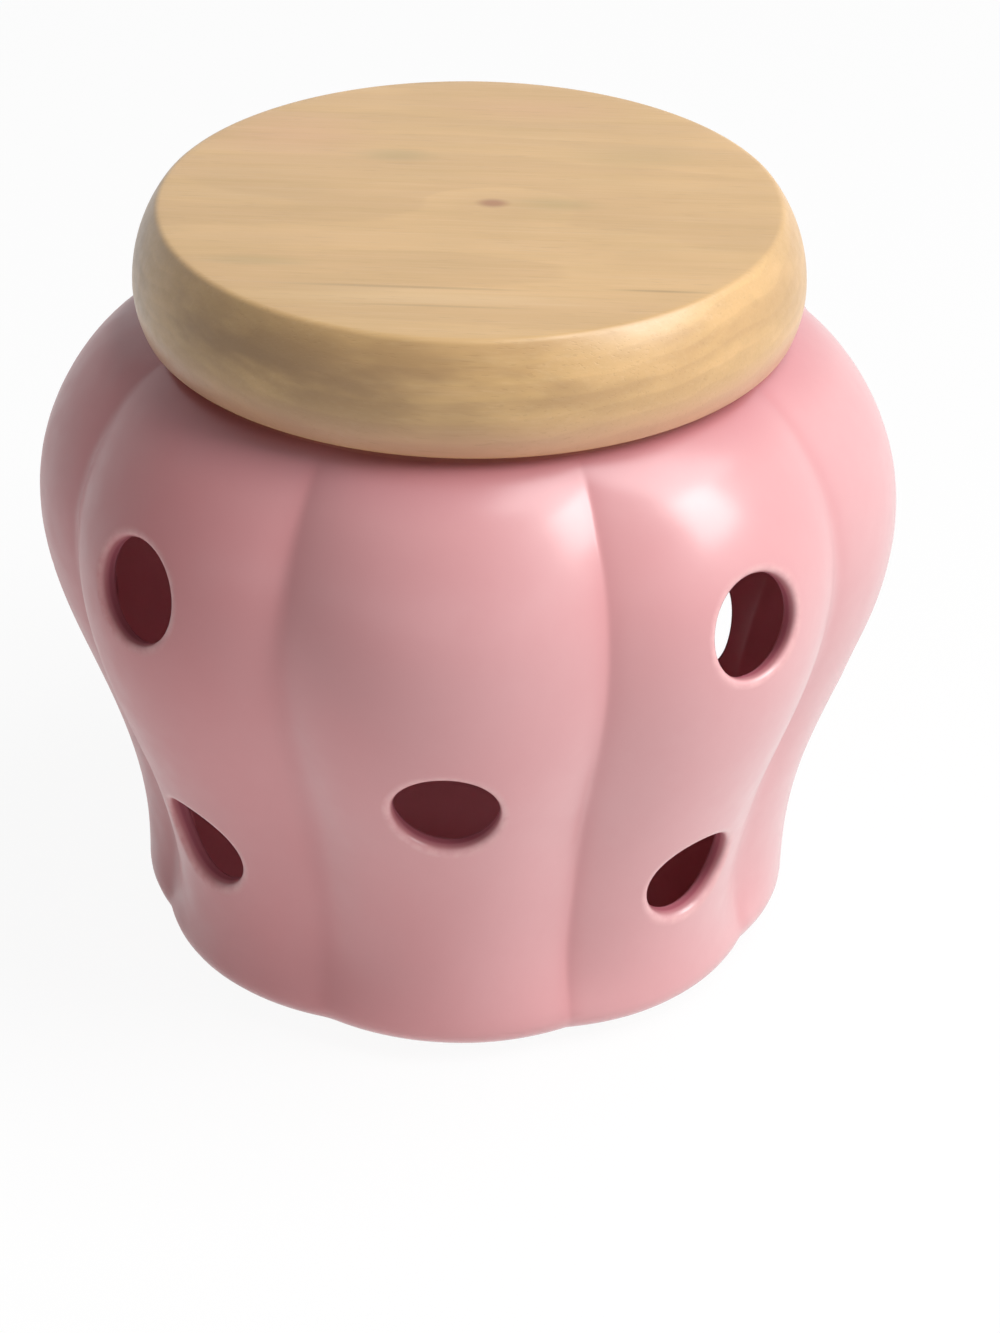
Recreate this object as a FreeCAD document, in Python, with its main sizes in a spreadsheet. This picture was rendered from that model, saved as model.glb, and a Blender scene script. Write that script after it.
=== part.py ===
import FreeCAD, Part
import math
import os

import Sketcher

# Garlic keeper: a glazed jar with eight lobes and twelve vents, a turned wooden lid with a plug, and the
# silicone ring in the plug's groove. Millimetres, +Z up, origin at the centre of the foot's resting face.
# The crest of one lobe faces -Y; lobes on the X and Y axes have one vent, the diagonal ones have two.

SIZES = (
    ("foot_height", 2.4, "foot ring below the lobed body"),
    ("foot_radius", 41.0, "outside of the foot ring"),
    ("foot_width", 5.0, "foot ring, outside to inside"),
    ("heel_radius", 48.9, "lobe crests just above the base"),
    ("heel_round", 4.0, "rounding between the base and the wall"),
    ("shoulder_radius", 62.8, "lobe crests at the widest level"),
    ("shoulder_height", 65.8, "widest level"),
    ("collar_step", 1.7, "lobe crests past the neck where the dome meets it"),
    ("collar_height", 97.2, "top of the dome"),
    ("crease_depth", 5.6, "crest to crease at the deepest level, before blending"),
    ("crease_blend", 3.0, "radius of the blend along each crease"),
    ("wall", 3.0, "thickness of the glazed wall"),
    ("floor_thickness", 5.0, "base of the jar above the foot"),
    ("floor_round", 4.0, "rounding between the floor and the inside wall"),
    ("mouth_radius", 39.5, "bore of the neck"),
    ("neck_wall", 4.0, "thickness of the round neck"),
    ("neck_height", 1.3, "top of the dome to the rim, where the lid rests"),
    ("rim_round", 1.0, "rounding of the two rim edges"),
    ("vent_radius", 7.5, "vent holes"),
    ("vent_lip", 1.2, "rounding of a vent's outer edge"),
    ("upper_vent_drop", 3.2, "upper vents of the diagonal lobes, below the dome level"),
    ("middle_vent_drop", 3.3, "vents of the lobes on the axes, below the swell level"),
    ("lower_vent_drop", -2.4, "lower vents of the diagonal lobes, below the waist level"),
    ("lid_height", 16.5, "rim to the lid's flat top"),
    ("belly_height", 5.5, "rim to the lid's widest level"),
    ("lid_overhang", 4.3, "lid's widest radius past the outside of the neck"),
    ("lid_top_inset", 3.65, "edge of the flat top inside the widest radius"),
    ("lid_base_inset", 1.3, "edge of the underside inside the widest radius"),
    ("lid_edge_round", 0.5, "rounding of the lid's two outer edges"),
    ("plug_depth", 9.0, "plug below the lid's underside"),
    ("plug_clearance", 1.5, "plug to the mouth"),
    ("plug_round", 1.0, "rounding of the plug's lower edge"),
    ("groove_drop", 1.6, "lid's underside to the ring groove"),
    ("groove_width", 3.2, "height of the ring groove"),
    ("groove_depth", 2.0, "ring groove into the plug"),
    ("ring_fit", 0.05, "running clearance of the ring in its groove"),
    ("ring_clearance", 0.2, "ring's ribs to the mouth"),
    ("rib_radius", 0.6, "half-round sealing ribs"),
)

# Levels of the lobed form. Below the shoulder: name, share of the height from foot to shoulder, share of the
# swell from heel to shoulder, share of the crease depth.
HEEL_CREASE = 0.27
RISE = (
    ("skirt", 0.136, 0.011, 0.56),
    ("waist", 0.377, 0.160, 0.74),
    ("flank", 0.585, 0.464, 0.98),
    ("swell", 0.792, 0.806, 1.00),
    ("shoulder", 1.000, 1.000, 0.83),
)
# Above the shoulder: name, share of the height from shoulder to collar, share of the tuck from shoulder to
# collar, share of the crease depth.
DOME = (
    ("dome", 0.357, 0.052, 0.69),
    ("crown", 0.656, 0.280, 0.60),
    ("brow", 0.895, 0.655, 0.43),
    ("collar", 1.000, 1.000, 0.10),
)

LOBES = 8
HALF_LOBE = 180.0 / LOBES
ROUND_STEPS = (0, 45, 90)
TOLERANCE = 0.001

NECK = "(Sizes.mouth_radius + Sizes.neck_wall)"
COLLAR = f"({NECK} + Sizes.collar_step)"
RIM = "(Sizes.collar_height + Sizes.neck_height)"
FLOOR = "(Sizes.foot_height + Sizes.floor_thickness)"
PLUG = "(Sizes.mouth_radius - Sizes.plug_clearance)"
GROOVE = f"({PLUG} - Sizes.groove_depth)"
GROOVE_TOP = f"({RIM} - Sizes.groove_drop)"
GROOVE_BASE = f"({GROOVE_TOP} - Sizes.groove_width)"
BELLY = f"({NECK} + Sizes.lid_overhang)"
BELLY_LEVEL = f"({RIM} + Sizes.belly_height)"
LID_TOP = f"({RIM} + Sizes.lid_height)"


def make_sheet(doc):
    """The driving dimensions, one row each: the value, with its alias, and what it is."""
    sheet = doc.addObject("Spreadsheet::Sheet", "Sizes")
    for row, (alias, value, note) in enumerate(SIZES, start=1):
        sheet.set(f"A{row}", str(value))
        sheet.setAlias(f"A{row}", alias)
        sheet.set(f"B{row}", note)
    doc.recompute()


def form_levels():
    """Name, height, crest radius and crease share of each level, from the base up."""
    levels = [("heel", "Sizes.foot_height + Sizes.heel_round", "Sizes.heel_radius", HEEL_CREASE)]
    for name, level, swell, crease in RISE:
        height = f"Sizes.foot_height + {level} * (Sizes.shoulder_height - Sizes.foot_height)"
        crest = f"Sizes.heel_radius + {swell} * (Sizes.shoulder_radius - Sizes.heel_radius)"
        levels.append((name, height, crest, crease))
    for name, level, tuck, crease in DOME:
        height = f"Sizes.shoulder_height + {level} * (Sizes.collar_height - Sizes.shoulder_height)"
        crest = f"Sizes.shoulder_radius - {tuck} * (Sizes.shoulder_radius - {COLLAR})"
        levels.append((name, height, crest, crease))
    return levels


def make_form(doc):
    """The lobed form as values bound to the sheet: each level's height, crest, lobe circle and lean.

    A lobe is an arc through its crest and its two creases. The lean is the wall's angle from upright.
    """
    form = doc.addObject("App::VarSet", "Form")
    levels = form_levels()
    for name, height, crest, crease in levels:
        add_value(form, f"{name}_height", height)
        add_value(form, f"{name}_crest", crest)
        add_value(form, f"{name}_crease", f"{name}_crest - {crease} * Sizes.crease_depth")
        chord = f"({name}_crease * sin({HALF_LOBE}))"
        rise = f"({name}_crest - {name}_crease * cos({HALF_LOBE}))"
        add_value(form, f"{name}_lobe", f"({chord}^2 + {rise}^2) / (2 * {rise})")
        add_value(form, f"{name}_centre", f"{name}_crest - {name}_lobe")
    names = [level[0] for level in levels]
    for index, name in enumerate(names):
        below = names[max(index - 1, 0)]
        above = names[min(index + 1, len(names) - 1)]
        slope = f"({above}_crest - {below}_crest) / ({above}_height - {below}_height)"
        add_value(form, f"{name}_lean", f"atan({slope})")


def add_value(holder, name, expression):
    holder.addProperty("App::PropertyFloat", name, "Form")
    holder.setExpression(name, expression)
    holder.Document.recompute()


def new_body(doc, name):
    body = doc.addObject("PartDesign::Body", name)
    body.Label = name
    return body


def origin_item(body, role):
    return next(item for item in body.Origin.OriginFeatures if item.Role == role)


def new_sketch(body, name, role, height=None):
    """A sketch on one of the body's own origin planes, or parallel to it at a height."""
    sketch = body.newObject("Sketcher::SketchObject", name)
    sketch.AttachmentSupport = [(origin_item(body, role), "")]
    sketch.MapMode = "FlatFace"
    if height:
        sketch.setExpression("AttachmentOffset.Base.z", height)
    return sketch


def number(sketch, expression):
    return float(sketch.evalExpression(expression))


def fix(sketch, kind, *where, to):
    """Add a dimension and bind it to an expression."""
    index = sketch.addConstraint(Sketcher.Constraint(kind, *where, number(sketch, to)))
    sketch.setExpression(f"Constraints[{index}]", to)


def place_point(sketch, edge, point, x, y):
    """Hold a point of an edge at a place measured from the sketch's origin."""
    fix(sketch, "DistanceX", -1, 1, edge, point, to=x)
    fix(sketch, "DistanceY", -1, 1, edge, point, to=y)


def arc_about(x, y, radius, start, end):
    circle = Part.Circle(FreeCAD.Vector(x, y, 0), FreeCAD.Vector(0, 0, 1), radius)
    return Part.ArcOfCircle(circle, start, end)


def circle_sketch(body, name, role, radii, height=None):
    """Concentric circles about the sketch's origin."""
    sketch = new_sketch(body, name, role, height)
    for radius in radii:
        size = number(sketch, radius)
        circle = sketch.addGeometry(Part.Circle(FreeCAD.Vector(), FreeCAD.Vector(0, 0, 1), size))
        sketch.addConstraint(Sketcher.Constraint("Coincident", circle, 3, -1, 1))
        fix(sketch, "Radius", circle, to=radius)
    return sketch


def lobed_sketch(body, name, level, height, inset):
    """The outline of a level, moved in by an inset: lobe arcs, with a tangent blend in each crease."""
    sketch = new_sketch(body, name, "XY_Plane", height)
    centre = f"Form.{level}_centre"
    lobe = f"Form.{level}_lobe - {inset}"
    blend = f"Sizes.crease_blend + {inset}"
    lobe_reach = number(sketch, centre)
    lobe_radius = number(sketch, lobe)
    blend_radius = number(sketch, blend)
    half = math.radians(HALF_LOBE)
    centres = lobe_radius + blend_radius
    blend_reach = lobe_reach * math.cos(half) + math.sqrt(centres**2 - (lobe_reach * math.sin(half)) ** 2)
    turn = math.atan2(blend_reach * math.sin(half), blend_reach * math.cos(half) - lobe_reach)
    lobes = []
    blends = []
    for index in range(LOBES):
        crest = 2 * half * index
        x, y = lobe_reach * math.cos(crest), lobe_reach * math.sin(crest)
        lobes.append(sketch.addGeometry(arc_about(x, y, lobe_radius, crest - turn, crest + turn)))
        crease = crest + half
        inward = crease + math.pi
        spread = turn - half
        x, y = blend_reach * math.cos(crease), blend_reach * math.sin(crease)
        blends.append(sketch.addGeometry(arc_about(x, y, blend_radius, inward - spread, inward + spread)))
    for index in range(LOBES):
        following = lobes[(index + 1) % LOBES]
        sketch.addConstraint(Sketcher.Constraint("Tangent", lobes[index], 2, blends[index], 2))
        sketch.addConstraint(Sketcher.Constraint("Tangent", blends[index], 1, following, 1))
    for index in range(LOBES):
        turned = index * 2 * HALF_LOBE
        place_point(sketch, lobes[index], 3, f"{centre} * cos({turned})", f"{centre} * sin({turned})")
    for radius, arcs in ((lobe, lobes), (blend, blends)):
        fix(sketch, "Radius", arcs[0], to=radius)
        for arc in arcs[1:]:
            sketch.addConstraint(Sketcher.Constraint("Equal", arcs[0], arc))
    return sketch


def outline_sketch(body, name, corners):
    """A closed outline in the XZ plane. A corner is (x, z), or (x, z, arc) where an arc runs to the next one.

    An arc is (axis, expression, turn): one coordinate of its centre, and +1 where it runs anticlockwise.
    """
    sketch = new_sketch(body, name, "XZ_Plane")
    edges = []
    for corner, following in zip(corners, corners[1:] + corners[:1]):
        start = [number(sketch, value) for value in corner[:2]]
        end = [number(sketch, value) for value in following[:2]]
        if len(corner) == 2:
            line = Part.LineSegment(FreeCAD.Vector(*start, 0), FreeCAD.Vector(*end, 0))
            edges.append((sketch.addGeometry(line), 1, 2))
        else:
            edges.append(add_arc(sketch, start, end, *corner[2]))
    for (edge, _, finish), (following, begin, _) in zip(edges, edges[1:] + edges[:1]):
        sketch.addConstraint(Sketcher.Constraint("Coincident", edge, finish, following, begin))
    for (edge, begin, _), corner in zip(edges, corners):
        place_point(sketch, edge, begin, corner[0], corner[1])
        if len(corner) > 2:
            axis, expression, _ = corner[2]
            fix(sketch, f"Distance{axis}", -1, 1, edge, 3, to=expression)
    return sketch


def add_arc(sketch, start, end, axis, expression, turn):
    """An arc between two points whose centre has one known coordinate; returns it with its two ends."""
    known = 0 if axis == "X" else 1
    other = 1 - known
    centre = [0.0, 0.0]
    centre[known] = number(sketch, expression)
    far = end[other] ** 2 + (end[known] - centre[known]) ** 2
    near = start[other] ** 2 + (start[known] - centre[known]) ** 2
    centre[other] = (far - near) / (2 * (end[other] - start[other]))
    radius = math.dist(start, centre)
    first, last = [math.atan2(point[1] - centre[1], point[0] - centre[0]) for point in (start, end)]
    if turn > 0:
        return sketch.addGeometry(arc_about(*centre, radius, first, last)), 1, 2
    return sketch.addGeometry(arc_about(*centre, radius, last, first)), 2, 1


def pad(body, name, sketch, length):
    feature = body.newObject("PartDesign::Pad", name)
    feature.Profile = sketch
    feature.setExpression("Length", length)


def pocket(body, name, sketch, length, reverse=False):
    feature = body.newObject("PartDesign::Pocket", name)
    feature.Profile = sketch
    feature.Reversed = reverse
    feature.setExpression("Length", length)
    return feature


def revolve(body, name, sketch):
    feature = body.newObject("PartDesign::Revolution", name)
    feature.Profile = sketch
    feature.ReferenceAxis = (origin_item(body, "Z_Axis"), [""])


def round_edges(body, name, wanted, radius):
    """Round the edges of the body's tip that a test accepts."""
    body.Document.recompute()
    tip = body.Tip
    edges = [f"Edge{index}" for index, edge in enumerate(tip.Shape.Edges, start=1) if wanted(edge)]
    if not edges:
        raise RuntimeError(f"{name} finds no edges to round")
    feature = body.newObject("PartDesign::Fillet", name)
    feature.Base = (tip, edges)
    feature.setExpression("Radius", radius)


def ring_edge(body, radius, height):
    """A test for the circular edge about the Z axis with this radius and height."""
    size = number(body, radius)
    level = number(body, height)

    def wanted(edge):
        if not isinstance(edge.Curve, Part.Circle):
            return False
        centre = edge.Curve.Center
        centred = math.hypot(centre.x, centre.y) < TOLERANCE
        return centred and abs(edge.Curve.Radius - size) < TOLERANCE and abs(centre.z - level) < TOLERANCE

    return wanted


def vent_edge(body):
    """A test for the outer edge of a vent: on a vent's bore, further out along its axis than its middle."""
    size = number(body, "Sizes.vent_radius")
    bores = [
        face
        for face in body.Tip.Shape.Faces
        if isinstance(face.Surface, Part.Cylinder) and abs(face.Surface.Radius - size) < TOLERANCE
    ]

    def wanted(edge):
        for bore in bores:
            if any(edge.isSame(side) for side in bore.Edges) and not edge.isSeam(bore):
                axis = bore.Surface.Axis
                middle = bore.CenterOfMass
                outward = axis.x * middle.x + axis.y * middle.y
                return outward * axis.dot(edge.CenterOfMass - middle) > 0
        return False

    return wanted


def corner_steps(level, inset, base, radius):
    """Heights and insets up a quarter round of a radius that starts at a base and ends on the wall."""
    for angle in ROUND_STEPS:
        height = f"{base} + {radius} * (1 - cos({angle}))"
        yield level, height, f"({inset} + {radius} * (1 - sin({angle})))"


def outside_levels():
    """Level, height and inset of the form's sections."""
    levels = list(corner_steps("heel", "0", "Sizes.foot_height", "Sizes.heel_round"))
    for name, *_ in RISE + DOME:
        levels.append((name, f"Form.{name}_height", "0"))
    return levels


def inside_levels():
    """The same for the hollow, which stays the wall's thickness inside, measured square to the wall."""
    levels = list(corner_steps("heel", "Sizes.wall", FLOOR, "Sizes.floor_round"))
    for name, *_ in RISE[1:] + DOME:
        height = f"Form.{name}_height + Sizes.wall * sin(Form.{name}_lean)"
        levels.append((name, height, f"Sizes.wall * cos(Form.{name}_lean)"))
    return levels


def lobed_loft(body, kind, name, levels):
    """A loft of a kind through the outlines at the given levels."""
    sections = []
    for index, (level, height, inset) in enumerate(levels, start=1):
        sections.append(lobed_sketch(body, f"{name}_section_{index}", level, height, inset))
    feature = body.newObject(f"PartDesign::{kind}", name)
    feature.Profile = sections[0]
    feature.Sections = sections[1:]


def vent_row(body, name, turn, level):
    """One vent near a level of the form and square to its wall, repeated on every second lobe."""
    height = f"Form.{level}_height - Sizes.{name}_drop"
    crossing = f"{height} + Form.{level}_crest * tan(Form.{level}_lean)"
    facing = f"rotation(vector(0; 1; 0); {turn}) * rotation(vector(1; 0; 0); Form.{level}_lean)"
    sketch = circle_sketch(body, f"{name}_circle", "XZ_Plane", ["Sizes.vent_radius"])
    sketch.setExpression("AttachmentOffset", f"placement(vector(0; {crossing}; 0); {facing})")
    hole = pocket(body, name, sketch, "2 * Sizes.shoulder_radius", reverse=True)
    row = body.newObject("PartDesign::PolarPattern", f"{name}_row")
    row.Originals = [hole]
    row.Axis = (origin_item(body, "Z_Axis"), [""])
    row.Angle = 360
    row.Occurrences = LOBES // 2
    body.Tip = row


def make_jar(doc):
    """Glazed jar: lobed form, foot ring and neck, then the hollow, the mouth and the vents."""
    body = new_body(doc, "jar")
    lobed_loft(body, "AdditiveLoft", "form", outside_levels())
    foot_radii = ["Sizes.foot_radius", "Sizes.foot_radius - Sizes.foot_width"]
    foot = circle_sketch(body, "foot_circles", "XY_Plane", foot_radii)
    pad(body, "foot", foot, f"{FLOOR} - Sizes.floor_thickness / 2")
    neck = circle_sketch(body, "neck_circle", "XY_Plane", [NECK], "Sizes.collar_height - Sizes.wall")
    pad(body, "neck", neck, "Sizes.wall + Sizes.neck_height")
    lobed_loft(body, "SubtractiveLoft", "hollow", inside_levels())
    mouth = circle_sketch(body, "mouth_circle", "XY_Plane", ["Sizes.mouth_radius"], RIM)
    pocket(body, "mouth", mouth, "Sizes.neck_height + 2 * Sizes.wall")
    vent_row(body, "upper_vent", HALF_LOBE * 2, "dome")
    vent_row(body, "middle_vent", 0, "swell")
    vent_row(body, "lower_vent", HALF_LOBE * 2, "waist")
    doc.recompute()
    round_edges(body, "vent_lips", vent_edge(body), "Sizes.vent_lip")
    round_edges(body, "rim_outside", ring_edge(body, NECK, RIM), "Sizes.rim_round")
    round_edges(body, "rim_inside", ring_edge(body, "Sizes.mouth_radius", RIM), "Sizes.rim_round")
    return body


def make_lid(doc):
    """Turned lid: bulging disc that rests on the rim, with a grooved plug that hangs in the mouth."""
    body = new_body(doc, "lid")
    plug_base = f"{RIM} - Sizes.plug_depth"
    base_edge = f"{BELLY} - Sizes.lid_base_inset"
    top_edge = f"{BELLY} - Sizes.lid_top_inset"
    bulge = ("Y", BELLY_LEVEL, 1)
    corners = [
        ("0", plug_base),
        (PLUG, plug_base),
        (PLUG, GROOVE_BASE),
        (GROOVE, GROOVE_BASE),
        (GROOVE, GROOVE_TOP),
        (PLUG, GROOVE_TOP),
        (PLUG, RIM),
        (base_edge, RIM, bulge),
        (BELLY, BELLY_LEVEL, bulge),
        (top_edge, LID_TOP),
        ("0", LID_TOP),
    ]
    revolve(body, "turning", outline_sketch(body, "turning_outline", corners))
    round_edges(body, "top_edge", ring_edge(body, top_edge, LID_TOP), "Sizes.lid_edge_round")
    round_edges(body, "base_edge", ring_edge(body, base_edge, RIM), "Sizes.lid_edge_round")
    round_edges(body, "plug_edge", ring_edge(body, PLUG, plug_base), "Sizes.plug_round")
    return body


def make_seal_ring(doc):
    """Silicone ring in the plug's groove, with two half-round ribs towards the mouth."""
    body = new_body(doc, "seal_ring")
    inner = f"{GROOVE} + Sizes.ring_fit"
    outer = "Sizes.mouth_radius - Sizes.ring_clearance - Sizes.rib_radius"
    low = f"({GROOVE_BASE} + Sizes.ring_fit)"
    high = f"({GROOVE_TOP} - Sizes.ring_fit)"
    rib = ("X", outer, 1)
    corners = [(inner, low), (outer, low)]
    for share in (0.25, 0.75):
        middle = f"({low} + {share} * ({high} - {low}))"
        corners.append((outer, f"{middle} - Sizes.rib_radius", rib))
        corners.append((outer, f"{middle} + Sizes.rib_radius"))
    corners += [(outer, high), (inner, high)]
    revolve(body, "moulding", outline_sketch(body, "moulding_outline", corners))
    return body


def check(doc, bodies):
    """Stop on a failed object, a bad shape, or a cut that removes nothing."""
    for item in doc.Objects:
        if {"Invalid", "Error"} & set(item.State):
            raise RuntimeError(f"{item.Name} failed: {item.State}")
    cuts = ("PartDesign::Pocket", "PartDesign::SubtractiveLoft", "PartDesign::PolarPattern")
    for body in bodies:
        if body.Shape.isNull() or not body.Shape.isValid() or len(body.Shape.Solids) != 1:
            raise RuntimeError(f"{body.Label} is not one valid solid")
        for feature in body.Group:
            if feature.TypeId in cuts and feature.Shape.Volume >= feature.BaseFeature.Shape.Volume:
                raise RuntimeError(f"{feature.Name} cuts nothing")


def main():
    doc = FreeCAD.newDocument("garlic_keeper")
    make_sheet(doc)
    make_form(doc)
    bodies = [make_jar(doc), make_seal_ring(doc), make_lid(doc)]
    doc.recompute()
    check(doc, bodies)
    os.makedirs("parts", exist_ok=True)
    for body in bodies:
        body.Shape.exportStep(f"parts/{body.Label}.step")
        print(body.Label, round(body.Shape.Volume / 1000, 2), "cm3", body.Shape.BoundBox)


main()
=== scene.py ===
import math

import bpy
import numpy as np
from mathutils import Matrix, Vector


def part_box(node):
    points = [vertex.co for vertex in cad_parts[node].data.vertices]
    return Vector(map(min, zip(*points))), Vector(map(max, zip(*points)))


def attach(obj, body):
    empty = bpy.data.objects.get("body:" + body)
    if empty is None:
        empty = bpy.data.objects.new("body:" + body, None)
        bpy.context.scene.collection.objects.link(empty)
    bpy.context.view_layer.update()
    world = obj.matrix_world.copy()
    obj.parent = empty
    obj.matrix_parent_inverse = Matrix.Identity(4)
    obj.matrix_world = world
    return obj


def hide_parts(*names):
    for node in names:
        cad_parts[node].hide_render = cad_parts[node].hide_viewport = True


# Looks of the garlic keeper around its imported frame: the glazed jar, the turned lid and the ring in its
# plug, with their materials, then the studio and the camera. Shapes are worked out in millimetres.

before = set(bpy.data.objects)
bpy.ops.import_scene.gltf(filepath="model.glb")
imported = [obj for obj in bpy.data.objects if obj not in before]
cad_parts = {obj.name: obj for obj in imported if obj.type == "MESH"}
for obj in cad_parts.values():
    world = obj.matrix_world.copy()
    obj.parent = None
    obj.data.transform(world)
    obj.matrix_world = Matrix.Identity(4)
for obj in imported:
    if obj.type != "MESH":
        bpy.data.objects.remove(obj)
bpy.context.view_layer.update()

MM = 0.001

# Jar sizes. The height of its rim comes from the frame, as the outer sizes of the lid and the ring do.
JAR_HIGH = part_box("jar")[1]
LID_LOW, LID_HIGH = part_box("lid")
RING_LOW, RING_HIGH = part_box("seal_ring")
RIM = JAR_HIGH.z / MM
NECK_HEIGHT = 1.3
COLLAR_HEIGHT = RIM - NECK_HEIGHT
MOUTH_RADIUS = 39.5
NECK_RADIUS = 43.5
COLLAR_RADIUS = 45.2
SHOULDER_RADIUS = 62.8
SHOULDER_HEIGHT = 65.8
HEEL_RADIUS = 48.9
HEEL_ROUND = 4.0
FOOT_HEIGHT = 2.4
FOOT_RADIUS = 41.0
FOOT_WIDTH = 5.0
FOOT_ROUND = 0.5
FLOOR = 7.4
FLOOR_ROUND = 4.0
BASE_RISE = 0.2
WALL = 3.0
RIM_ROUND = 1.0
CREASE_DEPTH = 5.6
# The glaze's fillet where the neck stands on the collar: its width and its rise.
NECK_FILLET = 0.3
NECK_FILLET_RISE = 0.12
# How thick the sloping wall is at the mouth, measured straight down, as a share of its thickness.
MOUTH_WALL_SHARE = 0.87
# Softness of the creases: the blend radius at the heel and at the collar of each, anticlockwise from the one
# at the right's back.
CREASE_BLENDS = (
    (2.6, 2.6),
    (3.4, 3.0),
    (2.2, 2.6),
    (3.0, 3.4),
    (10.0, 4.5),
    (12.0, 2.2),
    (1.3, 1.3),
    (9.0, 5.0),
)
VENT_RADIUS = 7.5
VENT_LIP = 1.4
VENT_INNER_LIP = 1.0

# Levels of the lobed form. Below the shoulder: share of the height from foot to shoulder, share of the swell
# from heel to shoulder, share of the crease depth.
HEEL_CREASE = 0.27
RISE = (
    (0.136, 0.011, 0.56),
    (0.377, 0.160, 0.74),
    (0.585, 0.464, 0.98),
    (0.792, 0.806, 1.00),
    (1.000, 1.000, 0.83),
)
# Above the shoulder: share of the height to the collar, share of the tuck to the collar, share of the depth.
DOME = (
    (0.357, 0.052, 0.69),
    (0.656, 0.280, 0.60),
    (0.895, 0.655, 0.43),
    (1.000, 1.000, 0.10),
)
# The rows of vents: the level they are near, how far below it, and whether they are in the diagonal lobes.
WAIST, SWELL, DOME_LEVEL = 2, 4, 6
VENT_ROWS = ((WAIST, -2.4, True), (SWELL, 3.3, False), (DOME_LEVEL, 3.2, True))
# Vents that were cut a little high or low: how far up, by level and lobe.
VENT_STRAYS = {
    (DOME_LEVEL, 5): 1.1,
    (WAIST, 5): 0.5,
    (WAIST, 7): -1.3,
    (DOME_LEVEL, 1): -0.6,
    (WAIST, 3): 0.7,
}
# How far the casting is turned from even lobes, in degrees anticlockwise: at the right's crest, the crease
# behind it, the next crest and so on, round to the right's crest again.
TURNED = (-2.0, -1.9, -1.8, -1.0, -0.5, 0.0, 0.6, 0.3, 0.0, 0.0, 0.0, 0.2, 0.6, -0.4, -2.3, -2.3, -2.0)
# The casting's uneven surface: how far in it lies on average, the height where this starts and the rise over
# which it grows, and the height where it ends and the drop over which it fades.
UNEVEN_INSET = 0.14
UNEVEN_FROM, UNEVEN_RISE = 3, 12
UNEVEN_TO, UNEVEN_DROP = 94, 14

# Mesh of the jar: columns to a lobe, how far they crowd towards the creases, rows up the wall, and the
# margin kept around a vent.
LOBES = 8
HALF_LOBE = math.pi / LOBES
COLUMNS = 36
CROWDING = 0.72
ROWS = 76
VENT_MARGIN = 1.0
# The small change of angle or distance that the wall's slopes are measured over, and the steps that it takes
# to find a place on the wall.
DIFFERENCE = 1e-4
SEARCH_STEPS = 6
# Steps in the rounded corners at the heel and the floor, at the rim and at the mouth's lower edge.
HEEL_STEPS = 7
RIM_STEPS = 6
CEILING_STEPS = 4
# Radii of the rows of the floor.
FLOOR_RADII = (34.0, 26.0, 17.0, 9.0, 3.0)
# Where a vent's rings lie between the block's border and the lip, and where the lip's rings lie across it.
VENT_RING_SHARES = (0.4, 0.7, 0.9, 1.0)
LIP_SHARES = (0.2, 0.4, 0.6, 0.8)

# Shades of the glaze, from 0 to 1. A vent's lip: how thin the glaze is on the rings around it and across it.
# Its bore, from the outside in: how deep the painted shade is, and how far it counts as the inside.
VENT_RING_THIN = (0.0, 0.0, 0.0, 0.3)
LIP_THIN = (1.0, 1.0, 0.7, 0.3)
BORE_SHADE = (0.6, 1.0, 1.0)
BORE_INSIDE = (0.3, 0.7, 1.0)
INNER_LIP_SHADE = 0.8
# Painted shadow below the neck, under the lid: the height where it starts, how deep it is, and how steeply it
# grows.
NECK_SHADE_START = 91
NECK_SHADE_DEPTH = 0.6
NECK_SHADE_POWER = 1.5
# Half the width of the line of deeper glaze in a crease.
CREASE_LINE = 2.2


class Skin:
    """The points, faces and named shades of one piece, in millimetres."""

    def __init__(self, *shades):
        self.points = []
        self.faces = []
        self.shades = {name: [] for name in shades}

    def add(self, points, **shades):
        """Add points with their shades, 0 where none is given, and return their indices."""
        start = len(self.points)
        self.points.extend(np.asarray(points, float).tolist())
        added = np.arange(start, len(self.points))
        for name, values in self.shades.items():
            values.extend(np.broadcast_to(shades.get(name, 0.0), len(added)).tolist())
        return added

    def bridge(self, first, second, keep=None):
        """Quads between two closed rows of points, all of them or those that a mask keeps."""
        quads = np.stack([first, np.roll(first, -1), np.roll(second, -1), second], axis=1)
        if keep is not None:
            quads = quads[keep]
        self.faces.extend(quads.tolist())

    def fan(self, row, centre):
        """Triangles from a closed row to one point."""
        for here, following in zip(row, np.roll(row, -1)):
            self.faces.append([int(here), int(following), int(centre)])

    def make(self, name, material, body):
        """The finished mesh object, riding on its body in place of the node of the same name."""
        mesh = bpy.data.meshes.new(name)
        mesh.from_pydata((np.array(self.points) * MM).tolist(), [], self.faces)
        for shade, values in self.shades.items():
            mesh.attributes.new(shade, "FLOAT", "POINT").data.foreach_set("value", values)
        mesh.shade_smooth()
        mesh.materials.append(material)
        piece = bpy.data.objects.new(name, mesh)
        bpy.context.scene.collection.objects.link(piece)
        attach(piece, body)
        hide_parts(body)
        return piece


def circle(radius, height, angles):
    """Points about the Z axis, all at one radius or each at its own."""
    heights = np.broadcast_to(height, angles.shape)
    return np.stack([radius * np.cos(angles), radius * np.sin(angles), heights], axis=1)


# The lobed wall of the jar.


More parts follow.
